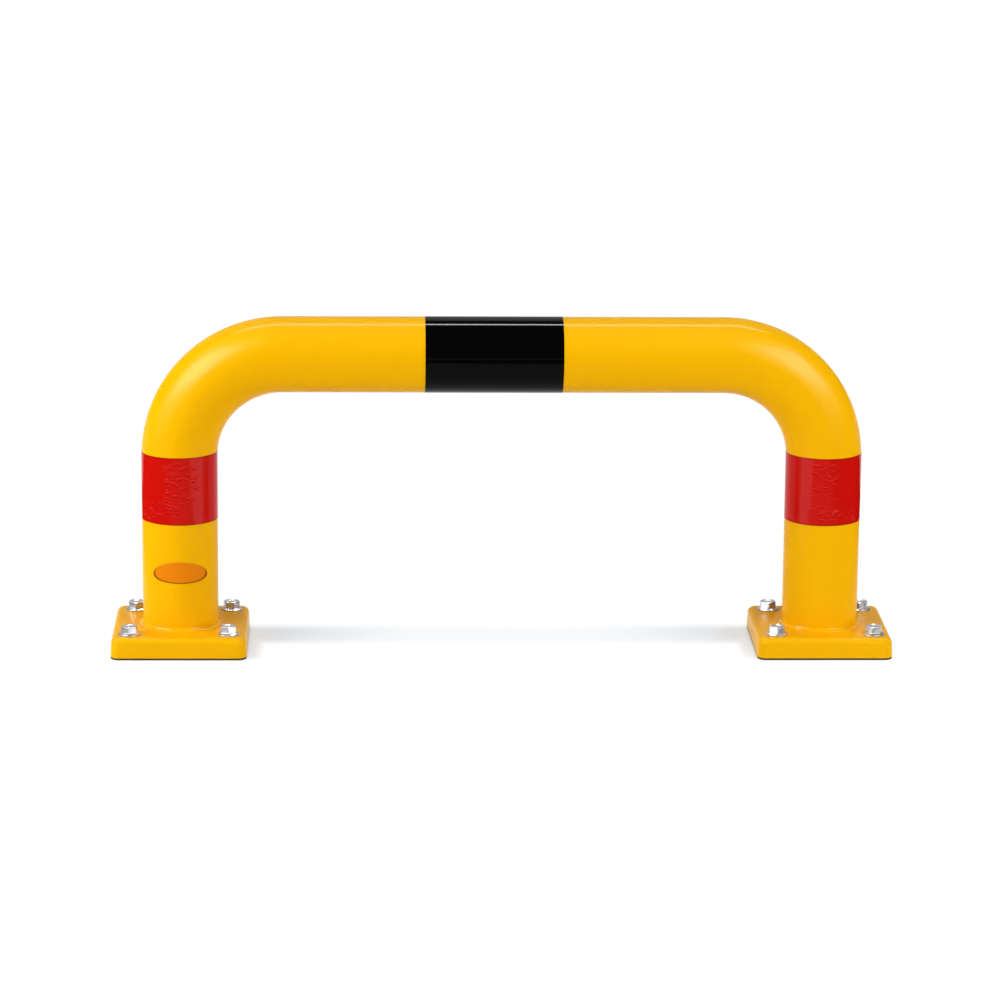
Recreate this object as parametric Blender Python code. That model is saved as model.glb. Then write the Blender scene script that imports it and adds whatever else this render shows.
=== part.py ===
"""Steel hoop barrier: one bent tube on two welded base plates, each held by four flange bolts.

Metres, +Z up. The floor is z = 0, the rail runs along X and the front faces -Y.
"""

from math import cos, pi, radians, sin, tan

import bmesh
import bpy
from mathutils import Matrix

# Hoop: one length of round steel tube with two bends of a quarter turn
TUBE_DIAMETER = 0.076
TUBE_WALL = 0.003
LEG_SPACING = 0.648
HOOP_HEIGHT = 0.3365
BEND_RADIUS = 0.1035
TUBE_SEGMENTS = 40
BEND_STEPS = 14

# Base plates: thick flat steel with rounded corners and softened edges, a little wider at the foot
PLATE_WIDTH = 0.136
PLATE_DEPTH = 0.136
PLATE_THICKNESS = 0.022
PLATE_DRAFT = 0.0008
PLATE_CORNER_RADIUS = 0.0088
PLATE_TOP_ROUND = 0.0055
PLATE_FOOT_ROUND = 0.0014
CORNER_STEPS = 7
TOP_ROUND_STEPS = 4

# Fillet weld all round the foot of each leg
WELD_LEG = 0.0058
WELD_TOE = 0.0005
WELD_STEPS = 5

# Flange bolts, one near each corner of a plate
BOLT_EDGE_DISTANCE = 0.0195
BOLT_DIAMETER = 0.010
BOLT_HOLE_DIAMETER = 0.0135
BOLT_HEX_FLATS = 0.015
BOLT_FLANGE_DIAMETER = 0.022
BOLT_FLANGE_RIM = 0.0014
BOLT_FLANGE_SLOPE = radians(21.0)
BOLT_HEAD_HEIGHT = 0.0088
BOLT_CROWN_INSET = 0.0003
BOLT_CROWN_SLOPE = radians(30.0)
BOLT_DISH_RADIUS = 0.0048
BOLT_DISH_DEPTH = 0.0007
BOLT_END_ABOVE_FLOOR = 0.0020
BOLT_STEPS_PER_FLAT = 4
HOLE_SEGMENTS = 24

# Adhesive bands: red round each leg, black round the rail
TAPE_THICKNESS = 0.0003
RED_BAND_HEIGHT = 0.0688
RED_BAND_PAST_BEND_START = 0.0053
BLACK_BAND_LENGTH = 0.1375
BLACK_BAND_OFFSET = -0.0095

# Gap where two pieces touch
CLEARANCE = 0.0003

TUBE_RADIUS = TUBE_DIAMETER / 2
RAIL_AXIS_HEIGHT = HOOP_HEIGHT - TUBE_RADIUS
BEND_START_HEIGHT = RAIL_AXIS_HEIGHT - BEND_RADIUS
RAIL_RUN = LEG_SPACING - 2 * BEND_RADIUS
HOOP_FOOT_HEIGHT = PLATE_THICKNESS + CLEARANCE
BOLT_SPACING_X = PLATE_WIDTH - 2 * BOLT_EDGE_DISTANCE
BOLT_SPACING_Y = PLATE_DEPTH - 2 * BOLT_EDGE_DISTANCE
RED_BAND_FOOT = BEND_START_HEIGHT + RED_BAND_PAST_BEND_START - RED_BAND_HEIGHT
SIDES = {"left": -1, "right": 1}

# Each bolt by place: the turn of its hexagon and how far it sits off its hole's centre along X
BOLT_PLACES = {
    "left_front_outer": (-1, -1, radians(22.0), -0.0010),
    "left_front_inner": (1, -1, radians(34.0), 0.0008),
    "left_back_outer": (-1, 1, radians(25.0), 0.0014),
    "left_back_inner": (1, 1, radians(48.0), 0.0014),
    "right_front_inner": (-1, -1, radians(28.0), 0.0009),
    "right_front_outer": (1, -1, radians(10.0), 0.0013),
    "right_back_inner": (-1, 1, radians(33.0), 0.0008),
    "right_back_outer": (1, 1, radians(18.0), -0.0014),
}

YELLOW_COAT = ("yellow_coat", (0.93, 0.50, 0.01), 0.28, 0.0)
WELD_COAT = ("weld_coat", (0.92, 0.49, 0.01), 0.32, 0.0)
RED_TAPE = ("red_tape", (0.62, 0.01, 0.005), 0.30, 0.0)
BLACK_TAPE = ("black_tape", (0.012, 0.012, 0.013), 0.22, 0.0)
ZINC_PLATE = ("zinc_plate", (0.72, 0.73, 0.75), 0.30, 1.0)


def clear_scene():
    for obj in list(bpy.data.objects):
        bpy.data.objects.remove(obj, do_unlink=True)


def material(name, colour, roughness, metallic):
    found = bpy.data.materials.get(name)
    if found:
        return found
    made = bpy.data.materials.new(name)
    made.use_nodes = True
    shader = made.node_tree.nodes["Principled BSDF"]
    shader.inputs["Base Color"].default_value = (*colour, 1.0)
    shader.inputs["Roughness"].default_value = roughness
    shader.inputs["Metallic"].default_value = metallic
    made.diffuse_color = (*colour, 1.0)
    return made


def place(name, mesh, finish, location=(0, 0, 0), turn=0.0):
    """Puts a mesh in the scene as one named piece with its material."""
    piece = bpy.data.objects.new(name, mesh)
    piece.location = location
    piece.rotation_euler.z = turn
    if not mesh.materials:
        mesh.materials.append(material(*finish))
    bpy.context.scene.collection.objects.link(piece)
    return piece


def finished_mesh(bm, name, sharp_angle=35.0):
    bmesh.ops.recalc_face_normals(bm, faces=bm.faces)
    mesh = bpy.data.meshes.new(name)
    bm.to_mesh(mesh)
    bm.free()
    mesh.shade_smooth()
    mesh.set_sharp_from_angle(angle=radians(sharp_angle))
    return mesh


def verts_of(geometry):
    return [item for item in geometry if isinstance(item, bmesh.types.BMVert)]


def edges_of(geometry):
    return [item for item in geometry if isinstance(item, bmesh.types.BMEdge)]


def foot_circle(bm):
    """The tube's outline where it stands on the left plate, returned as its edges."""
    bmesh.ops.create_circle(
        bm,
        cap_ends=False,
        segments=TUBE_SEGMENTS,
        radius=TUBE_RADIUS,
        matrix=Matrix.Translation((-LEG_SPACING / 2, 0, HOOP_FOOT_HEIGHT)),
    )
    return bm.edges[:]


def run_straight(bm, edges, move):
    """Draws a section out along a straight line and returns the new end section."""
    made = bmesh.ops.extrude_edge_only(bm, edges=edges)["geom"]
    bmesh.ops.translate(bm, verts=verts_of(made), vec=move)
    return edges_of(made)


def run_bend(bm, edges, centre):
    """Draws a section round a quarter turn about a Y axis through the centre."""
    section = edges + list({vert for edge in edges for vert in edge.verts})
    made = bmesh.ops.spin(
        bm,
        geom=section,
        cent=centre,
        axis=(0, 1, 0),
        angle=pi / 2,
        steps=BEND_STEPS,
        use_duplicate=False,
    )
    return edges_of(made["geom_last"])


def hoop_skin():
    """The tube's outer skin, from the left foot up, over the rail and down to the right foot."""
    bm = bmesh.new()
    leg = BEND_START_HEIGHT - HOOP_FOOT_HEIGHT
    section = run_straight(bm, foot_circle(bm), (0, 0, leg))
    section = run_bend(bm, section, (-RAIL_RUN / 2, 0, BEND_START_HEIGHT))
    section = run_straight(bm, section, (RAIL_RUN, 0, 0))
    section = run_bend(bm, section, (RAIL_RUN / 2, 0, BEND_START_HEIGHT))
    run_straight(bm, section, (0, 0, -leg))
    return finished_mesh(bm, "hoop_tube")


def add_hoop():
    """The outer skin is thickened inwards to the tube's wall, open at both sawn feet."""
    hoop = place("hoop_tube", hoop_skin(), YELLOW_COAT)
    wall = hoop.modifiers.new("tube_wall", "SOLIDIFY")
    wall.thickness = TUBE_WALL
    wall.offset = -1.0
    wall.use_even_offset = True


def rounded_outline():
    """Corner points of the plate's plan, anticlockwise, with each corner as an arc."""
    points = []
    straight_x = PLATE_WIDTH / 2 - PLATE_CORNER_RADIUS
    straight_y = PLATE_DEPTH / 2 - PLATE_CORNER_RADIUS
    for quarter, (sign_x, sign_y) in enumerate(((1, 1), (-1, 1), (-1, -1), (1, -1))):
        for step in range(CORNER_STEPS + 1):
            angle = (quarter + step / CORNER_STEPS) * pi / 2
            x = sign_x * straight_x + PLATE_CORNER_RADIUS * cos(angle)
            y = sign_y * straight_y + PLATE_CORNER_RADIUS * sin(angle)
            points.append((x, y, 0))
    return points


def round_rim(bm, height, radius, steps):
    """Rounds the edges of the plate that lie at one height."""
    rim = [edge for edge in bm.edges if all(abs(vert.co.z - height) < 1e-6 for vert in edge.verts)]
    bmesh.ops.bevel(
        bm,
        geom=rim,
        offset=radius,
        offset_type="OFFSET",
        segments=steps,
        profile=0.5,
        affect="EDGES",
    )


def plate_mesh(name):
    bm = bmesh.new()
    face = bm.faces.new([bm.verts.new(point) for point in rounded_outline()])
    top = verts_of(bmesh.ops.extrude_face_region(bm, geom=[face])["geom"])
    bmesh.ops.translate(bm, verts=top, vec=(0, 0, PLATE_THICKNESS))
    narrowed = (1 - 2 * PLATE_DRAFT / PLATE_WIDTH, 1 - 2 * PLATE_DRAFT / PLATE_DEPTH, 1)
    bmesh.ops.scale(bm, verts=top, vec=narrowed)
    round_rim(bm, PLATE_THICKNESS, PLATE_TOP_ROUND, TOP_ROUND_STEPS)
    round_rim(bm, 0, PLATE_FOOT_ROUND, 1)
    return finished_mesh(bm, name)


def drill(plate, name, x, y):
    """Cuts one bolt hole right through the plate."""
    bm = bmesh.new()
    bmesh.ops.create_cone(
        bm,
        cap_ends=True,
        segments=HOLE_SEGMENTS,
        radius1=BOLT_HOLE_DIAMETER / 2,
        radius2=BOLT_HOLE_DIAMETER / 2,
        depth=3 * PLATE_THICKNESS,
    )
    cutter = place(f"{name}_drill", finished_mesh(bm, f"{name}_drill"), YELLOW_COAT, (x, y, 0))
    cutter.hide_render = True
    cutter.display_type = "WIRE"
    cut = plate.modifiers.new(name, "BOOLEAN")
    cut.operation = "DIFFERENCE"
    cut.solver = "EXACT"
    cut.object = cutter


def add_plates():
    for side, sign in SIDES.items():
        name = f"base_plate_{side}"
        centre = sign * LEG_SPACING / 2
        plate = place(name, plate_mesh(name), YELLOW_COAT, (centre, 0, 0))
        for column, sign_x in (("west", -1), ("east", 1)):
            for row, sign_y in (("front", -1), ("back", 1)):
                x = centre + sign_x * BOLT_SPACING_X / 2
                y = sign_y * BOLT_SPACING_Y / 2
                drill(plate, f"hole_{side}_{row}_{column}", x, y)


def turned_ring(name, profile):
    """A ring turned about Z from a closed profile of (radius, height) points."""
    bm = bmesh.new()
    loop = [bm.verts.new((radius, 0, height)) for radius, height in profile]
    for start, end in zip(loop, loop[1:] + loop[:1]):
        bm.edges.new((start, end))
    bmesh.ops.spin(
        bm,
        geom=bm.verts[:] + bm.edges[:],
        cent=(0, 0, 0),
        axis=(0, 0, 1),
        angle=2 * pi,
        steps=TUBE_SEGMENTS,
        use_merge=True,
        use_duplicate=False,
    )
    bmesh.ops.remove_doubles(bm, verts=bm.verts, dist=1e-6)
    return finished_mesh(bm, name)


def weld_profile():
    """A concave fillet between the tube and the plate, with a blunt toe at each end."""
    inner = TUBE_RADIUS + CLEARANCE
    foot = PLATE_THICKNESS + CLEARANCE
    reach = WELD_LEG - WELD_TOE
    points = [(inner, foot), (inner + WELD_LEG, foot)]
    for step in range(WELD_STEPS + 1):
        angle = step / WELD_STEPS * pi / 2
        radius = inner + WELD_LEG - reach * sin(angle)
        height = foot + WELD_LEG - reach * cos(angle)
        points.append((radius, height))
    points.append((inner, foot + WELD_LEG))
    return points


def add_welds():
    for side, sign in SIDES.items():
        name = f"weld_bead_{side}"
        place(name, turned_ring(name, weld_profile()), WELD_COAT, (sign * LEG_SPACING / 2, 0, 0))


def band_profile(length):
    inner = TUBE_RADIUS + CLEARANCE
    outer = inner + TAPE_THICKNESS
    return [(inner, 0), (outer, 0), (outer, length), (inner, length)]


def add_red_bands():
    for side, sign in SIDES.items():
        name = f"red_band_{side}"
        mesh = turned_ring(name, band_profile(RED_BAND_HEIGHT))
        place(name, mesh, RED_TAPE, (sign * LEG_SPACING / 2, 0, RED_BAND_FOOT))


def add_black_band():
    start = BLACK_BAND_OFFSET - BLACK_BAND_LENGTH / 2
    mesh = turned_ring("black_band", band_profile(BLACK_BAND_LENGTH))
    mesh.transform(Matrix.Rotation(pi / 2, 4, "Y"))
    place("black_band", mesh, BLACK_TAPE, (start, 0, RAIL_AXIS_HEIGHT))


def hexagon_radius(angle):
    """Distance from the bolt's axis to its hexagon, with a corner at angle 0."""
    to_flat = (angle % (pi / 3)) - pi / 6
    return BOLT_HEX_FLATS / 2 / cos(to_flat)


def bolt_section(angle):
    """(radius, height) points of the bolt at one angle, from the shank's end to the dish."""
    seat = PLATE_THICKNESS + CLEARANCE
    top = seat + BOLT_HEAD_HEIGHT
    shank = BOLT_DIAMETER / 2
    flange = BOLT_FLANGE_DIAMETER / 2
    hexagon = hexagon_radius(angle)
    crown = BOLT_HEX_FLATS / 2 - BOLT_CROWN_INSET
    rim = seat + BOLT_FLANGE_RIM
    return [
        (shank, BOLT_END_ABOVE_FLOOR),
        (shank, seat),
        (flange, seat),
        (flange, rim),
        (hexagon, rim + (flange - hexagon) * tan(BOLT_FLANGE_SLOPE)),
        (hexagon, top - (hexagon - crown) * tan(BOLT_CROWN_SLOPE)),
        (crown, top),
        (BOLT_DISH_RADIUS, top),
        (BOLT_DISH_RADIUS - BOLT_DISH_DEPTH, top - BOLT_DISH_DEPTH),
    ]


def bolt_mesh():
    """A flange bolt whose rings change from round to hexagonal and back up the head."""
    bm = bmesh.new()
    steps = 6 * BOLT_STEPS_PER_FLAT
    columns = []
    for step in range(steps):
        angle = step / steps * 2 * pi
        column = []
        for radius, height in bolt_section(angle):
            column.append(bm.verts.new((radius * cos(angle), radius * sin(angle), height)))
        columns.append(column)
    for left, right in zip(columns, columns[1:] + columns[:1]):
        for low in range(len(left) - 1):
            bm.faces.new((left[low], right[low], right[low + 1], left[low + 1]))
    bm.faces.new([column[0] for column in reversed(columns)])
    bm.faces.new([column[-1] for column in columns])
    return finished_mesh(bm, "flange_bolt")


def add_bolts():
    mesh = bolt_mesh()
    for name, (sign_x, sign_y, turn, drift) in BOLT_PLACES.items():
        side = name.split("_")[0]
        x = SIDES[side] * LEG_SPACING / 2 + sign_x * BOLT_SPACING_X / 2 + drift
        y = sign_y * BOLT_SPACING_Y / 2
        place(f"bolt_{name}", mesh, ZINC_PLATE, (x, y, 0), turn)


clear_scene()
add_hoop()
add_plates()
add_welds()
add_red_bands()
add_black_band()
add_bolts()
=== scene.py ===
"""The looks of the steel hoop barrier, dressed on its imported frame.

Metres, +Z up. The floor is z = 0, the rail runs along X and the front faces -Y.
"""

from math import cos, exp, pi, radians, sin, sqrt, tan
from random import Random

import bmesh
import bpy
from mathutils import Matrix, Vector


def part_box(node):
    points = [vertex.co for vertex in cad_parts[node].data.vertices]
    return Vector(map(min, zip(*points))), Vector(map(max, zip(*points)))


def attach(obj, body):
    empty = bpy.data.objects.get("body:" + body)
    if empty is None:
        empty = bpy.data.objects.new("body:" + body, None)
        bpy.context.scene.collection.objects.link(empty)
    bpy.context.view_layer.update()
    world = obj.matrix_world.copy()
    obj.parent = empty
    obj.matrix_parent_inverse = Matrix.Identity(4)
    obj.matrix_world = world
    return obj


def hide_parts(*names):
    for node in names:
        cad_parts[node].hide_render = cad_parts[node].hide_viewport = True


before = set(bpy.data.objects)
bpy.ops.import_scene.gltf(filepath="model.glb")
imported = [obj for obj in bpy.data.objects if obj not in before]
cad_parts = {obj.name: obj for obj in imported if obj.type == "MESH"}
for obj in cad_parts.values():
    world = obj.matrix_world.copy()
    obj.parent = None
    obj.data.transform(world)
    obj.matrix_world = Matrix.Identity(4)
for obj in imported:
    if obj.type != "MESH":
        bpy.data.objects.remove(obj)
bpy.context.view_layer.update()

scene = bpy.context.scene
scene.view_settings.view_transform = "Standard"


# ---- Camera ----
# A long lens about four metres in front of the barrier and a little above it. Its place, turn and
# focal length were worked out from the outlines of the tube and the plates.

CAMERA_PLACE = (-0.14537, -4.10172, 1.137975)
CAMERA_TURN = -2.003
CAMERA_DIP = 13.548
CAMERA_ROLL = 0.522
SENSOR_WIDTH = 36.0
FOCAL_LENGTH = 150.76


def object_of(name, data):
    """Adds an object with its data to the scene."""
    made = bpy.data.objects.new(name, data)
    scene.collection.objects.link(made)
    return made


lens = bpy.data.cameras.new("studio_camera")
lens.sensor_fit = "HORIZONTAL"
lens.sensor_width = SENSOR_WIDTH
lens.lens = FOCAL_LENGTH
lens.clip_start = 0.1
lens.clip_end = 100.0
camera = object_of("studio_camera", lens)
camera.matrix_world = (
    Matrix.Translation(CAMERA_PLACE)
    @ Matrix.Rotation(radians(CAMERA_TURN), 4, "Z")
    @ Matrix.Rotation(radians(90.0 - CAMERA_DIP), 4, "X")
    @ Matrix.Rotation(radians(CAMERA_ROLL), 4, "Z")
)
scene.camera = camera


# ---- Floor and studio light ----
# A pale studio floor that reads as plain white and keeps the barrier's soft shadow. Two softboxes in
# front and two lights overhead light the matt colours. The other lights, two of them low in front of the
# legs, and three black cards only show in the gloss of the pieces.

FLOOR_RADIUS = 36.0
FLOOR_SIDES = 96
FLOOR_WHITE = 1.03
PAPER_GREY = 0.73
ROOM_GREY = 0.06
SHADOW_LIFT = 0.325
SHADOW_PAPER = (0.70, 0.80, 0.92, 1.0)
SHADOW_MIDDLE_Y = 0.032
SHADOW_HALF_DEPTH = (0.014, 0.050)
SHADOW_WEAK_SPAN = (0.07, 0.27)
SHADOW_WEAKEST = 0.32
SIDE_SHADOW_SPAN = (0.236, 0.250)
SIDE_SHADOW_HALF_DEPTH = (0.050, 0.076)
SHADOW_END_SPAN = (0.324, 0.325)


def add_node(tree, kind, **values):
    """Adds one node. Each value goes to the input or the property of its name, with _ for a space.

    A value that is the output of another node is linked.
    """
    node = tree.nodes.new(kind)
    for name, value in values.items():
        entry = node.inputs.get(name.replace("_", " "))
        if entry is None:
            setattr(node, name, value)
        elif isinstance(value, bpy.types.NodeSocket):
            tree.links.new(value, entry)
        else:
            entry.default_value = value
    return node


def maths(tree, operation, *terms):
    """The result of a Math node on outputs and numbers."""
    node = add_node(tree, "ShaderNodeMath", operation=operation)
    for entry, term in zip(node.inputs, terms):
        if isinstance(term, float):
            entry.default_value = term
        else:
            tree.links.new(term, entry)
    return node.outputs["Value"]


def graded(tree, value, source, target, interpolation="SMOOTHSTEP"):
    """Takes a value from the range source to the range target, and holds it beyond both ends."""
    node = add_node(tree, "ShaderNodeMapRange", interpolation_type=interpolation, Value=value)
    for name, end in zip(("From Min", "From Max", "To Min", "To Max"), (*source, *target)):
        node.inputs[name].default_value = end
    return node.outputs["Result"]


def mixed(tree, share, first, second):
    """Two shaders mixed, with only the second one where share is 1."""
    node = add_node(tree, "ShaderNodeMixShader")
    for entry, term in zip(node.inputs, (share, first, second)):
        tree.links.new(term, entry)
    return node.outputs["Shader"]


def blank_material(name):
    made = bpy.data.materials.new(name)
    made.use_nodes = True
    made.node_tree.nodes.clear()
    return made, made.node_tree


def show(tree, surface):
    """Makes a shader the surface of its material."""
    add_node(tree, "ShaderNodeOutputMaterial", Surface=surface)


def mesh_of(name, bm, material=None):
    mesh = bpy.data.meshes.new(name)
    bm.to_mesh(mesh)
    bm.free()
    if material is not None:
        mesh.materials.append(material)
    return mesh


def floor_finish():
    """White to the camera and to shiny pieces, with the barrier's shadow kept under its rail.

    The light that the floor throws back on the barrier is that of a plain pale paper.
    """
    made, tree = blank_material("studio_floor")
    place = add_node(tree, "ShaderNodeTexCoord")
    parts = add_node(tree, "ShaderNodeSeparateXYZ", Vector=place.outputs["Object"])
    sideways = maths(tree, "ABSOLUTE", parts.outputs["X"])
    from_plates = maths(tree, "ABSOLUTE", parts.outputs["Y"])
    from_rail = maths(tree, "ABSOLUTE", maths(tree, "SUBTRACT", parts.outputs["Y"], SHADOW_MIDDLE_Y))
    under_rail = maths(
        tree,
        "MULTIPLY",
        graded(tree, sideways, SHADOW_WEAK_SPAN, (SHADOW_WEAKEST, 1.0)),
        graded(tree, from_rail, SHADOW_HALF_DEPTH, (1.0, 0.0)),
    )
    beside_plates = maths(
        tree,
        "MULTIPLY",
        graded(tree, sideways, SIDE_SHADOW_SPAN, (0.0, 1.0)),
        graded(tree, from_plates, SIDE_SHADOW_HALF_DEPTH, (1.0, 0.0)),
    )
    between_legs = graded(tree, sideways, SHADOW_END_SPAN, (1.0, 0.0))
    shadow = maths(tree, "MAXIMUM", under_rail, beside_plates)
    inside = maths(tree, "MULTIPLY", shadow, between_legs)

    matt = add_node(tree, "ShaderNodeBsdfDiffuse", Color=SHADOW_PAPER)
    lift = add_node(tree, "ShaderNodeEmission", Strength=SHADOW_LIFT)
    shaded = add_node(tree, "ShaderNodeAddShader")
    tree.links.new(matt.outputs["BSDF"], shaded.inputs[0])
    tree.links.new(lift.outputs["Emission"], shaded.inputs[1])
    clean = add_node(tree, "ShaderNodeEmission", Strength=FLOOR_WHITE)
    seen = mixed(tree, inside, clean.outputs["Emission"], shaded.outputs["Shader"])

    paper = add_node(tree, "ShaderNodeBsdfDiffuse", Color=(*[PAPER_GREY] * 3, 1.0))
    path = add_node(tree, "ShaderNodeLightPath").outputs
    in_gloss = maths(tree, "MAXIMUM", path["Is Glossy Ray"], path["Is Transmission Ray"])
    looked_at = maths(tree, "MAXIMUM", path["Is Camera Ray"], in_gloss)
    show(tree, mixed(tree, looked_at, paper.outputs["BSDF"], seen))
    return made


bm = bmesh.new()
bmesh.ops.create_circle(bm, cap_ends=True, segments=FLOOR_SIDES, radius=FLOOR_RADIUS)
floor = object_of("studio_floor", mesh_of("studio_floor", bm, floor_finish()))

room = bpy.data.worlds.new("studio_room")
room.use_nodes = True
background = room.node_tree.nodes["Background"]
background.inputs["Color"].default_value = (1.0, 1.0, 1.0, 1.0)
background.inputs["Strength"].default_value = ROOM_GREY
scene.world = room

BARRIER_MIDDLE = 0.17

# Name, azimuth, elevation, distance, width and height, brightness.
MATT_LIGHTS = (
    ("softbox_left", -72.0, 14.0, 2.2, (1.5, 1.2), 6.30),
    ("softbox_right", 48.0, 12.0, 2.6, (1.6, 1.2), 6.05),
    ("softbox_overhead", 0.0, 88.0, 2.4, (2.4, 2.4), 1.75),
    ("strip_overhead", 0.0, 85.0, 2.4, (2.0, 0.35), 3.2),
)
GLEAMS = (
    ("gleam_left", -63.0, 28.0, 3.0, (2.2, 1.3), 9.0),
    ("gleam_right", 38.0, 25.0, 3.0, (1.6, 1.1), 8.0),
    ("gleam_back", 180.0, 12.0, 3.0, (4.0, 1.0), 0.50),
    ("gleam_back_high", 180.0, 37.0, 3.0, (4.0, 1.3), 0.8),
    ("gleam_strip", 180.0, 68.0, 2.2, (2.2, 0.17), 46.0),
)

# Name, azimuth, elevation, distance and brightness of the long gleams on the hoop's two bends.
BEND_GLEAMS = (
    ("bend_gleam_left", -62.0, 36.0, 3.0, 41.0),
    ("bend_gleam_right", 57.0, 35.0, 3.0, 35.0),
)
BEND_GLEAM_SIZE = (2.1, 1.5)
BEND_HALO_SIZE = (3.6, 3.0)
BEND_HALO_SHARE = 0.22

# Name, x and y of the place, x of the aim and brightness.
LOW_LIGHTS = (
    ("low_card_left", 0.10, -0.38, -0.324, 2.5),
    ("low_card_right", -0.12, -0.37, 0.324, 2.6),
)
LOW_LIGHT_SIZE = (0.50, 0.11)
LOW_LIGHT_HEIGHT = 0.055


def toward(azimuth, elevation, distance):
    """A point seen from the middle of the barrier. Azimuth 0 is the front, 90 the right-hand side."""
    a, e = radians(azimuth), radians(elevation)
    level = distance * cos(e)
    return Vector((level * sin(a), -level * cos(a), BARRIER_MIDDLE + distance * sin(e)))


def soft_light(name, location, size, brightness, on_matt=False, aimed_at=None, only_on=None):
    """A soft area light, aimed at the middle of the barrier unless another place is given.

    It lights matt surfaces alone, or else it only shows in the gloss of the pieces. With only_on it
    shows on nothing but the objects of that collection.
    """
    width, height = size
    lamp = bpy.data.lights.new(name, "AREA")
    lamp.shape = "RECTANGLE"
    lamp.size = width
    lamp.size_y = height
    lamp.energy = brightness * width * height * pi
    placed = object_of(name, lamp)
    placed.location = location
    aim = Vector(aimed_at or (0.0, 0.0, BARRIER_MIDDLE)) - Vector(location)
    placed.rotation_euler = aim.to_track_quat("-Z", "Y").to_euler()
    placed.visible_camera = False
    placed.visible_diffuse = on_matt
    placed.visible_glossy = not on_matt
    if only_on is not None:
        placed.light_linking.receiver_collection = only_on


for name, *bearing, size, brightness in MATT_LIGHTS:
    soft_light(name, toward(*bearing), size, brightness, on_matt=True)
tube_only = bpy.data.collections.new("tube_only")
for name, *bearing, brightness in BEND_GLEAMS:
    spot, halo = toward(*bearing), BEND_HALO_SHARE * brightness
    soft_light(name, spot, BEND_GLEAM_SIZE, brightness, only_on=tube_only)
    soft_light(f"{name}_halo", spot, BEND_HALO_SIZE, halo, only_on=tube_only)
for name, *bearing, size, brightness in GLEAMS:
    soft_light(name, toward(*bearing), size, brightness)
for name, x, y, aim_x, brightness in LOW_LIGHTS:
    aim = (aim_x, y, LOW_LIGHT_HEIGHT)
    soft_light(name, (x, y, LOW_LIGHT_HEIGHT), LOW_LIGHT_SIZE, brightness, aimed_at=aim)

# Two opposite corners of each card on the floor, out of the picture.
BLACK_CARDS = {
    "card_left": ((-4.0, -1.10), (-0.60, 0.6)),
    "card_right": ((0.60, -1.10), (4.0, 0.6)),
    "card_front": ((-4.0, -4.0), (4.0, -1.10)),
}
CARD_HEIGHT = 0.002
CARD_BLACK = (0.004, 0.004, 0.004, 1.0)

for name, ((left, front), (right, back)) in BLACK_CARDS.items():
    corners = ((left, front), (right, front), (right, back), (left, back))
    mesh = bpy.data.meshes.new(name)
    mesh.from_pydata([(x, y, CARD_HEIGHT) for x, y in corners], [], [(0, 1, 2, 3)])
    black, tree = blank_material(name)
    show(tree, add_node(tree, "ShaderNodeBsdfDiffuse", Color=CARD_BLACK).outputs["BSDF"])
    mesh.materials.append(black)
    card = object_of(name, mesh)
    card.visible_camera = False
    card.visible_diffuse = False
    card.visible_shadow = False


# ---- Hoop ----
# One length of round steel tube, drawn cold round a former into two quarter bends. It is open at both
# sawn feet and powder coated bright yellow, which leaves a smooth gloss with a very fine orange peel.

TUBE_RADIUS = 0.038
TUBE_WALL = 0.003
LEG_SPACING = 0.648
BEND_RADIUS = 0.1035
BEND_STEPS = 56
TUBE_SIDES = 144
FOOT_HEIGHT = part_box("hoop_tube")[0].z
RAIL_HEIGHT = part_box("hoop_tube")[1].z - TUBE_RADIUS
BEND_START_HEIGHT = RAIL_HEIGHT - BEND_RADIUS
SAFETY_YELLOW = (0.945, 0.483, 0.0008, 1.0)
# Painted shade: the dark colour painted on the plates' rounded foot where it meets the floor.
FOOT_SHADE_COLOUR = (0.085, 0.062, 0.026, 1.0)
FOOT_SHADE_FADE = 1.25


def named_sockets(tree, inputs, outputs):
    """Gives a node group its inputs (name, kind, value) and outputs (name, kind)."""
    for name, kind, value in inputs:
        socket = tree.interface.new_socket(name, in_out="INPUT", socket_type=kind)
        if value is not None:
            socket.default_value = value
    for name, kind in outputs:
        tree.interface.new_socket(name, in_out="OUTPUT", socket_type=kind)
    return tree.nodes.new("NodeGroupInput"), tree.nodes.new("NodeGroupOutput")


def shape_from_tree(name, base, tree, values):
    """Runs a Geometry Nodes tree on a base mesh and returns the plain mesh that it makes."""
    carrier = object_of(name, base)
    builder = carrier.modifiers.new(name, "NODES")
    builder.node_group = tree
    for socket in tree.interface.items_tree:
        if socket.item_type == "SOCKET" and socket.in_out == "INPUT" and socket.name in values:
            builder[socket.identifier] = values[socket.name]
    depsgraph = bpy.context.evaluated_depsgraph_get()
    evaluated = carrier.evaluated_get(depsgraph)
    made = bpy.data.meshes.new_from_object(evaluated, preserve_all_data_layers=True, depsgraph=depsgraph)
    made.name = name
    carrier.modifiers.remove(builder)
    bpy.data.objects.remove(carrier)
    return made


def with_modifiers_applied(piece):
    """Swaps a piece's mesh for the one that its modifiers make."""
    depsgraph = bpy.context.evaluated_depsgraph_get()
    made = bpy.data.meshes.new_from_object(piece.evaluated_get(depsgraph), depsgraph=depsgraph)
    piece.modifiers.clear()
    piece.data = made
    made.name = piece.name


def piece_of(name, mesh, slot, *nodes):
    """Adds a finished piece that rides on the barrier and stands for its CAD nodes."""
    piece = object_of(name, mesh)
    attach(piece, "root")
    if nodes:
        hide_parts(*nodes)
    return piece


def noise(tree, vector, **values):
    """The value of a plain noise over a vector."""
    return add_node(tree, "ShaderNodeTexNoise", Vector=vector, **values).outputs["Fac"]


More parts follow.
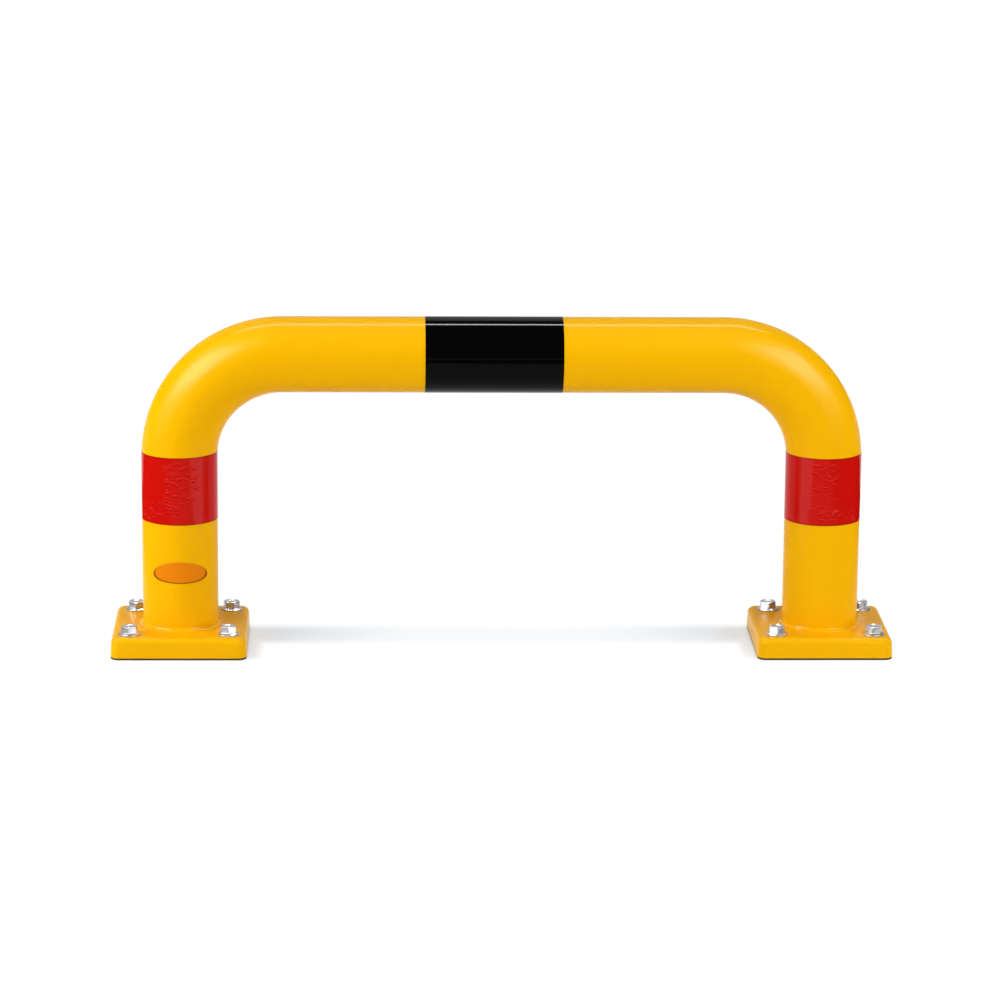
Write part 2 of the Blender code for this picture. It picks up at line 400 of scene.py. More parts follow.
def coat_grain_group():
    """Fine orange peel, with a slow drift in gloss and in tone, for every powder-coated piece."""
    tree = bpy.data.node_groups.new("coat_grain", "ShaderNodeTree")
    start, end = named_sockets(
        tree,
        [
            ("Vector", "NodeSocketVector", None),
            ("Peel Scale", "NodeSocketFloat", 420.0),
            ("Gloss", "NodeSocketFloat", 0.26),
            ("Gloss Drift", "NodeSocketFloat", 0.03),
            ("Colour", "NodeSocketColor", SAFETY_YELLOW),
            ("Tone Drift", "NodeSocketFloat", 0.03),
        ],
        [
            ("Height", "NodeSocketFloat"),
            ("Roughness", "NodeSocketFloat"),
            ("Colour", "NodeSocketColor"),
        ],
    )
    vector = start.outputs["Vector"]
    peel = noise(tree, vector, Scale=start.outputs["Peel Scale"], Detail=3.0, Roughness=0.55)
    tree.links.new(peel, end.inputs["Height"])
    patches = maths(tree, "SUBTRACT", noise(tree, vector, Scale=17.0, Detail=4.0), 0.5)
    gloss = maths(tree, "MULTIPLY_ADD", patches, start.outputs["Gloss Drift"], start.outputs["Gloss"])
    tree.links.new(gloss, end.inputs["Roughness"])
    tones = maths(tree, "SUBTRACT", noise(tree, vector, Scale=55.0, Detail=5.0), 0.5)
    value = maths(tree, "MULTIPLY_ADD", tones, start.outputs["Tone Drift"], 1.0)
    tinted = add_node(tree, "ShaderNodeHueSaturation", Color=start.outputs["Colour"], Value=value)
    tree.links.new(tinted.outputs["Color"], end.inputs["Colour"])
    return tree


coat_grain = coat_grain_group()


def laid_over(tree, mask, base, over):
    """The colour over where the mask is 1, and the colour or socket base where it is 0."""
    mix = add_node(tree, "ShaderNodeMix", data_type="RGBA")
    factor, first, second = (mix.inputs[index] for index in (0, 6, 7))
    tree.links.new(mask, factor)
    if isinstance(base, tuple):
        first.default_value = base
    else:
        tree.links.new(base, first)
    second.default_value = over
    return mix.outputs[2]


def glossy_surface(tree, colour, roughness, height, depth, **values):
    """The shader of a piece, from its colour, its roughness and a relief of depth metres."""
    bump = add_node(tree, "ShaderNodeBump", Strength=1.0, Distance=depth, Height=height)
    shader = add_node(
        tree,
        "ShaderNodeBsdfPrincipled",
        Base_Color=colour,
        Roughness=roughness,
        Normal=bump.outputs["Normal"],
        **values,
    )
    return shader.outputs["BSDF"]


def powder_coat(name, gloss, gleam, peel_scale, peel_depth, painted_shade_below=None):
    """Yellow powder coat. gleam is its IOR, and peel_depth the height in metres from hollow to crest.

    Below the height painted_shade_below a dark line is painted on: painted shade where the rounded foot
    meets the floor.
    """
    made, tree = blank_material(name)
    place = add_node(tree, "ShaderNodeTexCoord").outputs["Object"]
    grain = add_node(
        tree,
        "ShaderNodeGroup",
        node_tree=coat_grain,
        Vector=place,
        Peel_Scale=peel_scale,
        Gloss=gloss,
        Colour=SAFETY_YELLOW,
    ).outputs
    surface = glossy_surface(
        tree, grain["Colour"], grain["Roughness"], grain["Height"], peel_depth, IOR=gleam
    )
    if painted_shade_below is not None:
        # A dark matt colour painted on below that height, as painted shade of the foot.
        parts = add_node(tree, "ShaderNodeSeparateXYZ", Vector=place)
        foot_shade = graded(tree, parts.outputs["Z"], (painted_shade_below, painted_shade_below * FOOT_SHADE_FADE), (1.0, 0.0))
        painted_foot_shade = add_node(tree, "ShaderNodeBsdfDiffuse", Color=FOOT_SHADE_COLOUR)
        surface = mixed(tree, foot_shade, surface, painted_foot_shade.outputs["BSDF"])
    show(tree, surface)
    return made


yellow_coat = powder_coat("yellow_coat", gloss=0.20, gleam=1.10, peel_scale=420.0, peel_depth=0.00001)


def end_tree(tree, geometry, material, end):
    """Ends a Geometry Nodes tree with real geometry in its material."""
    real = add_node(tree, "GeometryNodeRealizeInstances", Geometry=geometry).outputs["Geometry"]
    coated = add_node(tree, "GeometryNodeSetMaterial", Geometry=real, Material=material)
    tree.links.new(coated.outputs["Geometry"], end.inputs["Geometry"])


def hoop_tree():
    """The outer skin: an open line of four corners, filleted at the bends and swept with a circle."""
    tree = bpy.data.node_groups.new("bent_tube", "GeometryNodeTree")
    start, end = named_sockets(
        tree,
        [
            ("Geometry", "NodeSocketGeometry", None),
            ("Leg Spacing", "NodeSocketFloat", 0.6),
            ("Foot Height", "NodeSocketFloat", 0.0),
            ("Rail Height", "NodeSocketFloat", 0.3),
            ("Bend Radius", "NodeSocketFloat", 0.1),
            ("Tube Radius", "NodeSocketFloat", 0.04),
            ("Bend Steps", "NodeSocketInt", BEND_STEPS),
            ("Sides", "NodeSocketInt", TUBE_SIDES),
            ("Coat", "NodeSocketMaterial", None),
        ],
        [("Geometry", "NodeSocketGeometry")],
    )
    given = start.outputs
    right = maths(tree, "MULTIPLY", given["Leg Spacing"], 0.5)
    left = maths(tree, "MULTIPLY", given["Leg Spacing"], -0.5)
    foot, rail = given["Foot Height"], given["Rail Height"]
    points = {}
    for number, (across, up) in enumerate(((left, foot), (left, rail), (right, rail), (right, foot)), 1):
        corner = add_node(tree, "ShaderNodeCombineXYZ", X=across, Z=up)
        points[f"Point_{number}"] = corner.outputs["Vector"]
    line = add_node(tree, "GeometryNodeCurvePrimitiveQuadrilateral", mode="POINTS", **points)
    opened = add_node(
        tree, "GeometryNodeSetSplineCyclic", Geometry=line.outputs["Curve"], Cyclic=False
    )
    bent = add_node(
        tree,
        "GeometryNodeFilletCurve",
        mode="POLY",
        Curve=opened.outputs["Geometry"],
        Radius=given["Bend Radius"],
        Count=given["Bend Steps"],
    )
    section = add_node(
        tree,
        "GeometryNodeCurvePrimitiveCircle",
        mode="RADIUS",
        Radius=given["Tube Radius"],
        Resolution=given["Sides"],
    )
    swept = add_node(
        tree,
        "GeometryNodeCurveToMesh",
        Curve=bent.outputs["Curve"],
        Profile_Curve=section.outputs["Curve"],
    )
    smooth = add_node(tree, "GeometryNodeSetShadeSmooth", Geometry=swept.outputs["Mesh"])
    end_tree(tree, smooth.outputs["Geometry"], given["Coat"], end)
    return tree


def turn_outward(mesh):
    """Merges doubles and makes every face of an open or closed skin point outwards."""
    bm = bmesh.new()
    bm.from_mesh(mesh)
    bmesh.ops.remove_doubles(bm, verts=bm.verts, dist=1e-6)
    bmesh.ops.recalc_face_normals(bm, faces=bm.faces)
    bm.to_mesh(mesh)
    bm.free()
    mesh.shade_smooth()


hoop_skin = shape_from_tree(
    "hoop",
    bpy.data.meshes.new("hoop_start"),
    hoop_tree(),
    {
        "Leg Spacing": LEG_SPACING,
        "Foot Height": FOOT_HEIGHT,
        "Rail Height": RAIL_HEIGHT,
        "Bend Radius": BEND_RADIUS,
        "Tube Radius": TUBE_RADIUS,
        "Bend Steps": BEND_STEPS,
        "Sides": TUBE_SIDES,
        "Coat": yellow_coat,
    },
)
turn_outward(hoop_skin)
hoop = piece_of("hoop", hoop_skin, "yellow_coat", "hoop_tube")
tube_only.objects.link(hoop)
wall = hoop.modifiers.new("tube_wall", "SOLIDIFY")
wall.thickness = TUBE_WALL
wall.offset = -1.0
wall.use_even_offset = True
with_modifiers_applied(hoop)
hoop.data.set_sharp_from_angle(angle=radians(40.0))


# ---- Base plates ----
# Two square pieces of thick plate, their corners and upper edges rounded before coating. Each is drilled
# for four bolts and coated together with the hoop, a little heavier where the coat pools on its edges.

PLATE_CORNER_RADIUS = 0.0088
PLATE_TOP_ROUND = 0.0055
PLATE_FOOT_ROUND = 0.0014
PLATE_DRAFT = 0.0008
PLATE_WIDTH = 0.136
BOLT_HOLE_RADIUS = 0.00675
BOLT_SPACING = 0.097
CORNER_STEPS = 16
TOP_ROUND_STEPS = 10
FOOT_ROUND_STEPS = 3
DRILL_SIDES = 48
DRILL_LENGTH = 0.1

# The plates' coat carries the painted shade line along the foot.
plate_coat = powder_coat(
    "plate_coat", gloss=0.28, gleam=1.14, peel_scale=330.0, peel_depth=0.00002, painted_shade_below=0.0021
)


def plate_outline(half_x, half_y):
    """Corner points of a plate's plan, anticlockwise, with each corner as an arc."""
    points = []
    for quarter, (sign_x, sign_y) in enumerate(((1, 1), (-1, 1), (-1, -1), (1, -1))):
        for step in range(CORNER_STEPS + 1):
            angle = (quarter + step / CORNER_STEPS) * pi / 2
            x = sign_x * (half_x - PLATE_CORNER_RADIUS) + PLATE_CORNER_RADIUS * cos(angle)
            y = sign_y * (half_y - PLATE_CORNER_RADIUS) + PLATE_CORNER_RADIUS * sin(angle)
            points.append((x, y, 0.0))
    return points


def round_rim(bm, height, radius, steps):
    rim = [edge for edge in bm.edges if all(abs(vert.co.z - height) < 1e-6 for vert in edge.verts)]
    bmesh.ops.bevel(
        bm,
        geom=rim,
        offset=radius,
        offset_type="OFFSET",
        segments=steps,
        profile=0.5,
        affect="EDGES",
    )


def rounded_plate(low, high):
    bm = bmesh.new()
    half_x = half_y = PLATE_WIDTH / 2
    face = bm.faces.new([bm.verts.new(point) for point in plate_outline(half_x, half_y)])
    made = bmesh.ops.extrude_face_region(bm, geom=[face])["geom"]
    top = [item for item in made if isinstance(item, bmesh.types.BMVert)]
    bmesh.ops.translate(bm, verts=top, vec=(0, 0, high.z - low.z))
    bmesh.ops.scale(bm, verts=top, vec=(1 - PLATE_DRAFT / half_x, 1 - PLATE_DRAFT / half_y, 1))
    round_rim(bm, high.z - low.z, PLATE_TOP_ROUND, TOP_ROUND_STEPS)
    round_rim(bm, 0.0, PLATE_FOOT_ROUND, FOOT_ROUND_STEPS)
    bmesh.ops.recalc_face_normals(bm, faces=bm.faces)
    middle = (low + high) / 2
    bmesh.ops.translate(bm, verts=bm.verts, vec=(middle.x, middle.y, low.z))
    return bm


def hole_cutter(name, middle):
    """Four drills in one mesh, one for each bolt hole of a plate."""
    bm = bmesh.new()
    for sign_x in (-1, 1):
        for sign_y in (-1, 1):
            spot = (middle.x + sign_x * BOLT_SPACING / 2, middle.y + sign_y * BOLT_SPACING / 2, 0.0)
            bmesh.ops.create_cone(
                bm,
                cap_ends=True,
                segments=DRILL_SIDES,
                radius1=BOLT_HOLE_RADIUS,
                radius2=BOLT_HOLE_RADIUS,
                depth=DRILL_LENGTH,
                matrix=Matrix.Translation(spot),
            )
    return object_of(name, mesh_of(name, bm))


for side in ("left", "right"):
    low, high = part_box(f"base_plate_{side}")
    plate_mesh = mesh_of(f"plate_{side}", rounded_plate(low, high), plate_coat)
    plate_mesh.shade_smooth()
    plate = object_of(f"plate_{side}", plate_mesh)
    cutter = hole_cutter(f"plate_drill_{side}", (low + high) / 2)
    cut = plate.modifiers.new("bolt_holes", "BOOLEAN")
    cut.operation = "DIFFERENCE"
    cut.solver = "EXACT"
    cut.object = cutter
    with_modifiers_applied(plate)
    bpy.data.objects.remove(cutter)
    plate.data.set_sharp_from_angle(angle=radians(40.0))
    flats = plate.modifiers.new("flat_faces", "WEIGHTED_NORMAL")
    flats.weight = 100
    flats.keep_sharp = True
    with_modifiers_applied(plate)
    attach(plate, "root")
    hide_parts(f"base_plate_{side}")


# ---- Welds ----
# A fillet weld runs once round the foot of each leg and joins it to its plate. It was ground lightly and
# coated over, so only a soft concave band with a slow ripple is left between tube and plate.

WELD_LEG = 0.0058
WELD_HOLLOW = 2.5
WELD_RIPPLE = 0.00005
WELD_RIPPLES_ROUND = 46
WELD_SLOW_DRIFT = 0.00018
WELD_QUICK_DRIFT = 0.00012
WELD_SINK = 0.00015
WELD_SIDES = 184
WELD_STEPS = 16

weld_coat = powder_coat("weld_coat", gloss=0.13, gleam=1.3, peel_scale=420.0, peel_depth=0.00001)


def weld_ring(centre_x, plate_top, seed):
    """A concave ring whose edges run just under the coat of the tube and of the plate."""
    bm = bmesh.new()
    inner, base = TUBE_RADIUS - WELD_SINK, plate_top - WELD_SINK

    def point(angle, radius, height):
        return bm.verts.new((centre_x + radius * cos(angle), radius * sin(angle), height))

    rings = []
    for side in range(WELD_SIDES):
        angle = side / WELD_SIDES * 2 * pi
        ripple = WELD_RIPPLE * sin(angle * WELD_RIPPLES_ROUND + 0.8 * sin(angle * 5 + seed))
        slow = WELD_SLOW_DRIFT * sin(angle * 3 + seed)
        drift = slow + WELD_QUICK_DRIFT * sin(angle * 7 + 2 * seed)
        reach = WELD_LEG + drift
        ring = []
        for step in range(WELD_STEPS + 1):
            t = step / WELD_STEPS * pi / 2
            outward = reach * (1 - sin(t) ** (2 / WELD_HOLLOW)) + ripple * sin(2 * t)
            upward = reach * (1 - cos(t) ** (2 / WELD_HOLLOW)) + ripple * sin(2 * t)
            ring.append(point(angle, inner + outward, base + upward))
        ring.append(point(angle, inner, base))
        rings.append(ring)
    for left, right in zip(rings, rings[1:] + rings[:1]):
        for low in range(len(left)):
            high = (low + 1) % len(left)
            bm.faces.new((left[low], right[low], right[high], left[high]))
    bmesh.ops.recalc_face_normals(bm, faces=bm.faces)
    return bm


for side, sign, seed in (("left", -1, 0.4), ("right", 1, 2.1)):
    plate_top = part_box(f"base_plate_{side}")[1].z
    ring = weld_ring(sign * LEG_SPACING / 2, plate_top, seed)
    weld_mesh = mesh_of(f"weld_{side}", ring, weld_coat)
    weld_mesh.shade_smooth()
    weld_mesh.set_sharp_from_angle(angle=radians(50.0))
    piece_of(f"weld_{side}", weld_mesh, "weld_coat", f"weld_bead_{side}")


# ---- Red bands ----
# A strip of glossy red film is wound once round each leg, just under the bend, and laps over itself at
# the back. It was pulled on by hand, so short level creases show where it met the start of the bend.

FILM_INNER = 0.03806
FILM_THICKNESS = 0.00022
LAP_LENGTH = 0.014
LAP_RAMP = 0.004
FINE_COLUMN = 0.0007
COARSE_COLUMN = 0.0032
CREASE_HALF_LENGTH = (0.0012, 0.0030)
CREASE_HALF_WIDTH = (0.00050, 0.00080)
CREASE_HEIGHT = (0.00011, 0.00030)
CREASE_TILT = 0.20
CREASE_REACH = 3
DENT_AWAY = 1.6
DENT_SHARE = 0.75
DEEPEST_DENT = 0.00016
# Crease relief in millimetres over which the film goes from the painted shade of its dents to the partly
# painted highlight of its ridges.
CREASE_SHADE_AND_SHEEN_SPAN = (-0.2, 0.2)


def bend_shift(height):
    """How far the tube's axis has moved towards the barrier's middle at a height in the bend."""
    above = max(0.0, height - BEND_START_HEIGHT)
    return BEND_RADIUS - sqrt(BEND_RADIUS**2 - above**2)


def creases_in(patches, seed):
    """Short creases, drawn at random in patches (low u, high u, low v, high v, count)."""
    draw = Random(seed)
    creases = []
    for low_u, high_u, low_v, high_v, count in patches:
        for _ in range(count):
            at_u, at_v = draw.uniform(low_u, high_u), draw.uniform(low_v, high_v)
            half_length = draw.uniform(*CREASE_HALF_LENGTH)
            half_width = draw.uniform(*CREASE_HALF_WIDTH)
            height, tilt = draw.uniform(*CREASE_HEIGHT), draw.gauss(0.0, CREASE_TILT)
            creases.append((at_u, at_v, half_length, half_width, height, tilt))
    return creases


def relief(creases, u, v):
    """Height of the film's creases at one place: each is a ridge with a dent right under it."""
    height = 0.0
    for at_u, at_v, half_length, half_width, depth, tilt in creases:
        du, dv = u - at_u, v - at_v
        if max(abs(du), abs(dv)) < CREASE_REACH * half_length:
            along = (du * cos(tilt) + dv * sin(tilt)) / half_length
            across = (dv * cos(tilt) - du * sin(tilt)) / half_width
            under = across + DENT_AWAY
            section = exp(-across * across) - DENT_SHARE * exp(-under * under)
            height += depth * exp(-along * along) * section
    return height


def film_loop(length, row_step, fine_reach, wander, seed, creases=()):
    """A film wound on a cylinder along Z, as columns of (u, v, lap, relief) points in metres.

    u runs along the circumference from the front, and v along the length. The columns are close together
    as far as fine_reach on both sides of the front, and the film laps over its own start at the back.
    """
    half_turn = pi * FILM_INNER
    end = half_turn + LAP_LENGTH
    u, places = -half_turn, []
    while u < end:
        places.append(u)
        u += FINE_COLUMN if abs(u) < fine_reach else COARSE_COLUMN
    places.append(end)
    steps = round(length / row_step)
    columns = []
    for u in places:
        lap = min(1.0, max(0.0, (u - half_turn + LAP_RAMP) / LAP_RAMP)) * FILM_THICKNESS
        edge = wander * (sin(u * 31 + seed) + 0.6 * sin(u * 83 + 2 * seed))
        column = []
        for step in range(steps + 1):
            v = step / steps * length
            cut = v + edge * (2 * step / steps - 1)
            column.append((u, cut, lap, relief(creases, u, v)))
        columns.append(column)
    return columns


def film_mesh(name, rows, at):
    """Builds the film with its thickness, a UV map in metres and its relief in millimetres.

    at places (u, v, radius) in space.
    """
    bm = bmesh.new()
    uv = bm.loops.layers.uv.new("film_map")
    crease = bm.verts.layers.float.new("crease")
    grid = []
    for row in rows:
        column = []
        for u, v, lap, lift in row:
            outside = FILM_INNER + FILM_THICKNESS + lap + max(lift, -DEEPEST_DENT)
            outer = bm.verts.new(at(u, v, outside))
            inner = bm.verts.new(at(u, v, FILM_INNER + lap + max(lift, 0.0)))
            outer[crease] = lift * 1000
            column.append((outer, inner, u, v))
        grid.append(column)

    def face(corners, layer):
        made = bm.faces.new([corner[layer] for corner in corners])
        for loop, corner in zip(made.loops, corners):
            loop[uv].uv = (corner[2], corner[3])

    def rim(first, second):
        made = bm.faces.new((first[0], second[0], second[1], first[1]))
        for loop, corner in zip(made.loops, (first, second, second, first)):
            loop[uv].uv = (corner[2], corner[3])

    for left, right in zip(grid, grid[1:]):
        for low in range(len(left) - 1):
            corners = (left[low], right[low], right[low + 1], left[low + 1])
            face(corners, 0)
            face(corners[::-1], 1)
        rim(right[0], left[0])
        rim(left[-1], right[-1])
    for low in range(len(grid[0]) - 1):
        rim(grid[0][low], grid[0][low + 1])
        rim(grid[-1][low + 1], grid[-1][low])
    bmesh.ops.recalc_face_normals(bm, faces=bm.faces)
    mesh = mesh_of(name, bm)
    mesh.shade_smooth()
    mesh.set_sharp_from_angle(angle=radians(50.0))
    return mesh


def film_grain_group():
    """A faint waviness of the film and a slow drift in its gloss."""
    tree = bpy.data.node_groups.new("film_grain", "ShaderNodeTree")
    start, end = named_sockets(
        tree,
        [
            ("Vector", "NodeSocketVector", None),
            ("Gloss", "NodeSocketFloat", 0.08),
            ("Gloss Drift", "NodeSocketFloat", 0.05),
        ],
        [("Height", "NodeSocketFloat"), ("Roughness", "NodeSocketFloat")],
    )
    vector = start.outputs["Vector"]
    tree.links.new(noise(tree, vector, Scale=65.0, Detail=2.0), end.inputs["Height"])
    spots = noise(tree, vector, Scale=160.0, Detail=3.0)
    rough = maths(tree, "MULTIPLY_ADD", spots, start.outputs["Gloss Drift"], start.outputs["Gloss"])
    tree.links.new(rough, end.inputs["Roughness"])
    return tree


def film_edge_group():
    """1 along the two cut edges of a film and 0 inside it, from v in metres."""
    tree = bpy.data.node_groups.new("film_edge", "ShaderNodeTree")
    start, end = named_sockets(
        tree,
        [
            ("Vector", "NodeSocketVector", None),
            ("Length", "NodeSocketFloat", 0.07),
            ("Edge Width", "NodeSocketFloat", 0.0017),
        ],
        [("Edge", "NodeSocketFloat")],
    )
    near = add_node(tree, "ShaderNodeSeparateXYZ", Vector=start.outputs["Vector"]).outputs["Y"]
    far = maths(tree, "SUBTRACT", start.outputs["Length"], near)
    share = maths(tree, "DIVIDE", maths(tree, "MINIMUM", near, far), start.outputs["Edge Width"])
    tree.links.new(graded(tree, share, (0.0, 1.0), (1.0, 0.0)), end.inputs["Edge"])
    return tree


film_grain = film_grain_group()
film_edge = film_edge_group()


def film_finish(name, tones, gloss, gleam, length, waviness):
    """Glossy adhesive film. gleam is its IOR, and waviness the height of its slow waves in metres.

    tones are the colours of the film, of its cut edges, and of its dents and ridges. The edge colour is
    partly dirt and partly painted shade. The dents' deeper colour is painted shade, and the ridges'
    paler colour is partly film stretched pale and partly a painted highlight.
    """
    colour, edge_dirt_and_shade_colour, dent_shade_colour, ridge_pale_and_lit_colour = tones
    made, tree = blank_material(name)
    place = add_node(tree, "ShaderNodeUVMap", uv_map="film_map").outputs["UV"]
    grain = add_node(tree, "ShaderNodeGroup", node_tree=film_grain, Vector=place, Gloss=gloss).outputs
    edge = add_node(tree, "ShaderNodeGroup", node_tree=film_edge, Vector=place, Length=length)
    # The crease relief picks painted shade for the dents and a partly painted highlight for the ridges.
    crease = add_node(tree, "ShaderNodeAttribute", attribute_name="crease")
    share = graded(tree, crease.outputs["Fac"], CREASE_SHADE_AND_SHEEN_SPAN, (0.0, 1.0), "LINEAR")
    tone = add_node(tree, "ShaderNodeValToRGB", Fac=share)
    tone.color_ramp.elements[0].color = dent_shade_colour
    tone.color_ramp.elements[1].color = ridge_pale_and_lit_colour
    tone.color_ramp.elements.new(0.5).color = colour
    # The cut edges get a darker colour that is partly dirt and partly painted shade.
    base = laid_over(tree, edge.outputs["Edge"], tone.outputs["Color"], edge_dirt_and_shade_colour)
    show(tree, glossy_surface(tree, base, grain["Roughness"], grain["Height"], waviness, IOR=gleam))
    return made


FILM_RED = (0.59, 0.006, 0.003, 1.0)
# Partly dirt and partly painted shade along the film's cut edges.
FILM_RED_EDGE_DIRT_AND_SHADE = (0.30, 0.001, 0.0005, 1.0)
# Painted shade in the hollow under each crease.
FILM_RED_DENT_SHADE = (0.42, 0.002, 0.001, 1.0)
# Partly film stretched pale, partly a painted highlight on each crease's ridge.
FILM_RED_RIDGE_PALE_AND_LIT = (0.70, 0.022, 0.018, 1.0)
RED_TONES = (FILM_RED, FILM_RED_EDGE_DIRT_AND_SHADE, FILM_RED_DENT_SHADE, FILM_RED_RIDGE_PALE_AND_LIT)
RED_CREASES = {
    "left": (
        (-0.014, -0.001, 0.012, 0.064, 58),
        (0.000, 0.021, 0.022, 0.064, 24),
        (-0.042, -0.003, 0.004, 0.023, 24),
    ),
    "right": (
        (-0.016, 0.000, 0.012, 0.065, 34),
        (-0.008, 0.012, 0.006, 0.063, 48),
        (0.004, 0.033, 0.003, 0.016, 18),
    ),
}

for side, sign in (("left", -1), ("right", 1)):
    low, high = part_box(f"red_band_{side}")
    band_length = high.z - low.z

    def on_leg(u, v, radius, sign=sign, foot=low.z):
        """Wraps the film round the leg and lets it follow the start of the bend."""
        angle = u / FILM_INNER
        inward = -sign * bend_shift(foot + v)
        x = sign * LEG_SPACING / 2 + inward + radius * sin(angle)
        return (x, -radius * cos(angle), foot + v)

    creases = creases_in(RED_CREASES[side], 5 + sign)
    columns = film_loop(
        band_length,
        row_step=0.00035,
        fine_reach=0.046,
        wander=0.00006,
        seed=1.0 + sign,
        creases=creases,
    )
    band_mesh = film_mesh(f"red_film_{side}", columns, on_leg)
    red_film = film_finish(
        f"red_film_{side}",
        RED_TONES,
        gloss=0.05,
        gleam=1.16,
        length=band_length,
        waviness=0.00001,
    )
    band_mesh.materials.append(red_film)
    piece_of(f"red_film_{side}", band_mesh, "red_tape", f"red_band_{side}")


# ---- Black band ----
# A wide piece of black film is wound once round the rail, a little left of its middle, and laps at the
# back. Its surface is glossier than the coat, so the strip light shows in it as one thin white line.

low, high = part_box("black_band")
black_start, black_length = low.x, high.x - low.x


def on_rail(u, v, radius):
    """Wraps the film round the rail, with v running from left to right."""
    angle = u / FILM_INNER
    return (black_start + v, -radius * cos(angle), RAIL_HEIGHT + radius * sin(angle))


columns = film_loop(black_length, row_step=0.004, fine_reach=0.060, wander=0.00005, seed=0.7)
black_mesh = film_mesh("black_film", columns, on_rail)
BLACK_FILM = (0.0014, 0.0014, 0.0014, 1.0)
# Partly dirt and partly painted shade along the black film's cut edges.
BLACK_FILM_EDGE_DIRT_AND_SHADE = (0.0010, 0.0010, 0.0010, 1.0)
BLACK_TONES = (BLACK_FILM, BLACK_FILM_EDGE_DIRT_AND_SHADE, BLACK_FILM, BLACK_FILM)
black_film = film_finish(
    "black_film", BLACK_TONES, gloss=0.04, gleam=1.14, length=black_length, waviness=0.00002
)
black_mesh.materials.append(black_film)
piece_of("black_film", black_mesh, "black_tape", "black_band")


# ---- Oval sticker ----
# A small plain oval of orange printed film with a darker rim; the clear margin round it is not drawn. It
# is stuck on the front of the left leg at about a quarter of the barrier's height.

STICKER_HEIGHT_UP = 0.0827
STICKER_WIDTH = 0.0596
STICKER_HEIGHT = 0.0224
STICKER_TURN = radians(1.9)
STICKER_DROOP = 0.24
STICKER_FACE = (0.84, 0.235, 0.003, 1.0)
STICKER_RIM = (0.31, 0.066, 0.001, 1.0)
# Painted light: the printed rim's colour where it is lit at the top.
STICKER_RIM_LIT_TOP = (0.80, 0.30, 0.004, 1.0)
STICKER_RIM_SPAN = (0.895, 0.92)
# Height in the oval over which the painted light on the rim comes in.
STICKER_RIM_LIGHT_SPAN = (-0.2, 0.8)
STICKER_ROUGHNESS = (0.24, 0.36)
STICKER_GRAIN_DEPTH = 0.00002
STICKER_GLEAM = 1.12
STICKER_THICKNESS = 0.00008
STICKER_SINK = 0.00002
STICKER_EDGE_SHARE = 1.006
STICKER_SIDES = 96
STICKER_STEPS = 10


def sticker_finish():
    """Orange inside a thin brown printed rim, drawn from the oval's UV map. The rim's paling towards the
    top is painted light.
    """
    made, tree = blank_material("sticker_print")
    place = add_node(tree, "ShaderNodeUVMap", uv_map="oval_map").outputs["UV"]
    distance = add_node(tree, "ShaderNodeVectorMath", operation="LENGTH", Vector=place)
    inside = graded(tree, distance.outputs["Value"], STICKER_RIM_SPAN, (1.0, 0.0), "LINEAR")
    parts = add_node(tree, "ShaderNodeSeparateXYZ", Vector=place)
    painted_light_share = graded(tree, parts.outputs["Y"], STICKER_RIM_LIGHT_SPAN, (0.0, 1.0))
    rim_print_and_light = laid_over(tree, painted_light_share, STICKER_RIM, STICKER_RIM_LIT_TOP)
    tone = laid_over(tree, inside, rim_print_and_light, STICKER_FACE)
    grain = noise(tree, place, Scale=26.0, Detail=4.0)
    rough = graded(tree, grain, (0.0, 1.0), STICKER_ROUGHNESS, "LINEAR")
    show(tree, glossy_surface(tree, tone, rough, grain, STICKER_GRAIN_DEPTH, IOR=STICKER_GLEAM))
    return made


def oval_mesh():
    """A thin oval wrapped on the leg, in rings from its middle to a rim that slopes down to the tube."""
    bm = bmesh.new()
    uv = bm.loops.layers.uv.new("oval_map")
    outer_radius = TUBE_RADIUS + STICKER_THICKNESS

    def at(share, angle, radius):
        u = share * cos(angle) * STICKER_WIDTH / 2
        turn = STICKER_TURN + u / TUBE_RADIUS
        v = share * sin(angle) * STICKER_HEIGHT / 2 - STICKER_DROOP * TUBE_RADIUS * (1 - cos(turn))
        x = -LEG_SPACING / 2 + radius * sin(turn)
        return (x, -radius * cos(turn), STICKER_HEIGHT_UP + v)

    def ring_at(share, radius):
        angles = [2 * pi * k / STICKER_SIDES for k in range(STICKER_SIDES)]
        return [(bm.verts.new(at(share, angle, radius)), share, angle) for angle in angles]

    def paint(face, spots):
        for loop, (share, angle) in zip(face.loops, spots):
            loop[uv].uv = (share * cos(angle), share * sin(angle))

    middle = bm.verts.new(at(0.0, 0.0, outer_radius))
    rings = [ring_at(step / STICKER_STEPS, outer_radius) for step in range(1, STICKER_STEPS + 1)]
    rings.append(ring_at(STICKER_EDGE_SHARE, TUBE_RADIUS - STICKER_SINK))
    for k in range(STICKER_SIDES):
        a, b = rings[0][k], rings[0][(k + 1) % STICKER_SIDES]
        paint(bm.faces.new((middle, a[0], b[0])), ((0.0, 0.0), a[1:], b[1:]))
    for near, far in zip(rings, rings[1:]):
        for k in range(STICKER_SIDES):
            a, b = near[k], near[(k + 1) % STICKER_SIDES]
            c, d = far[(k + 1) % STICKER_SIDES], far[k]
            paint(bm.faces.new((a[0], d[0], c[0], b[0])), (a[1:], d[1:], c[1:], b[1:]))
    mesh = mesh_of("oval_sticker", bm, sticker_finish())
    mesh.shade_smooth()
    return mesh


piece_of("oval_sticker", oval_mesh(), "yellow_coat")


# ---- Flange bolts ----
# Eight bright zinc plated steel bolts hold the plates to the floor, each a hexagon with a chamfered,
# slightly dished top on its own flange. They were driven by hand, so each stopped at its own turn.

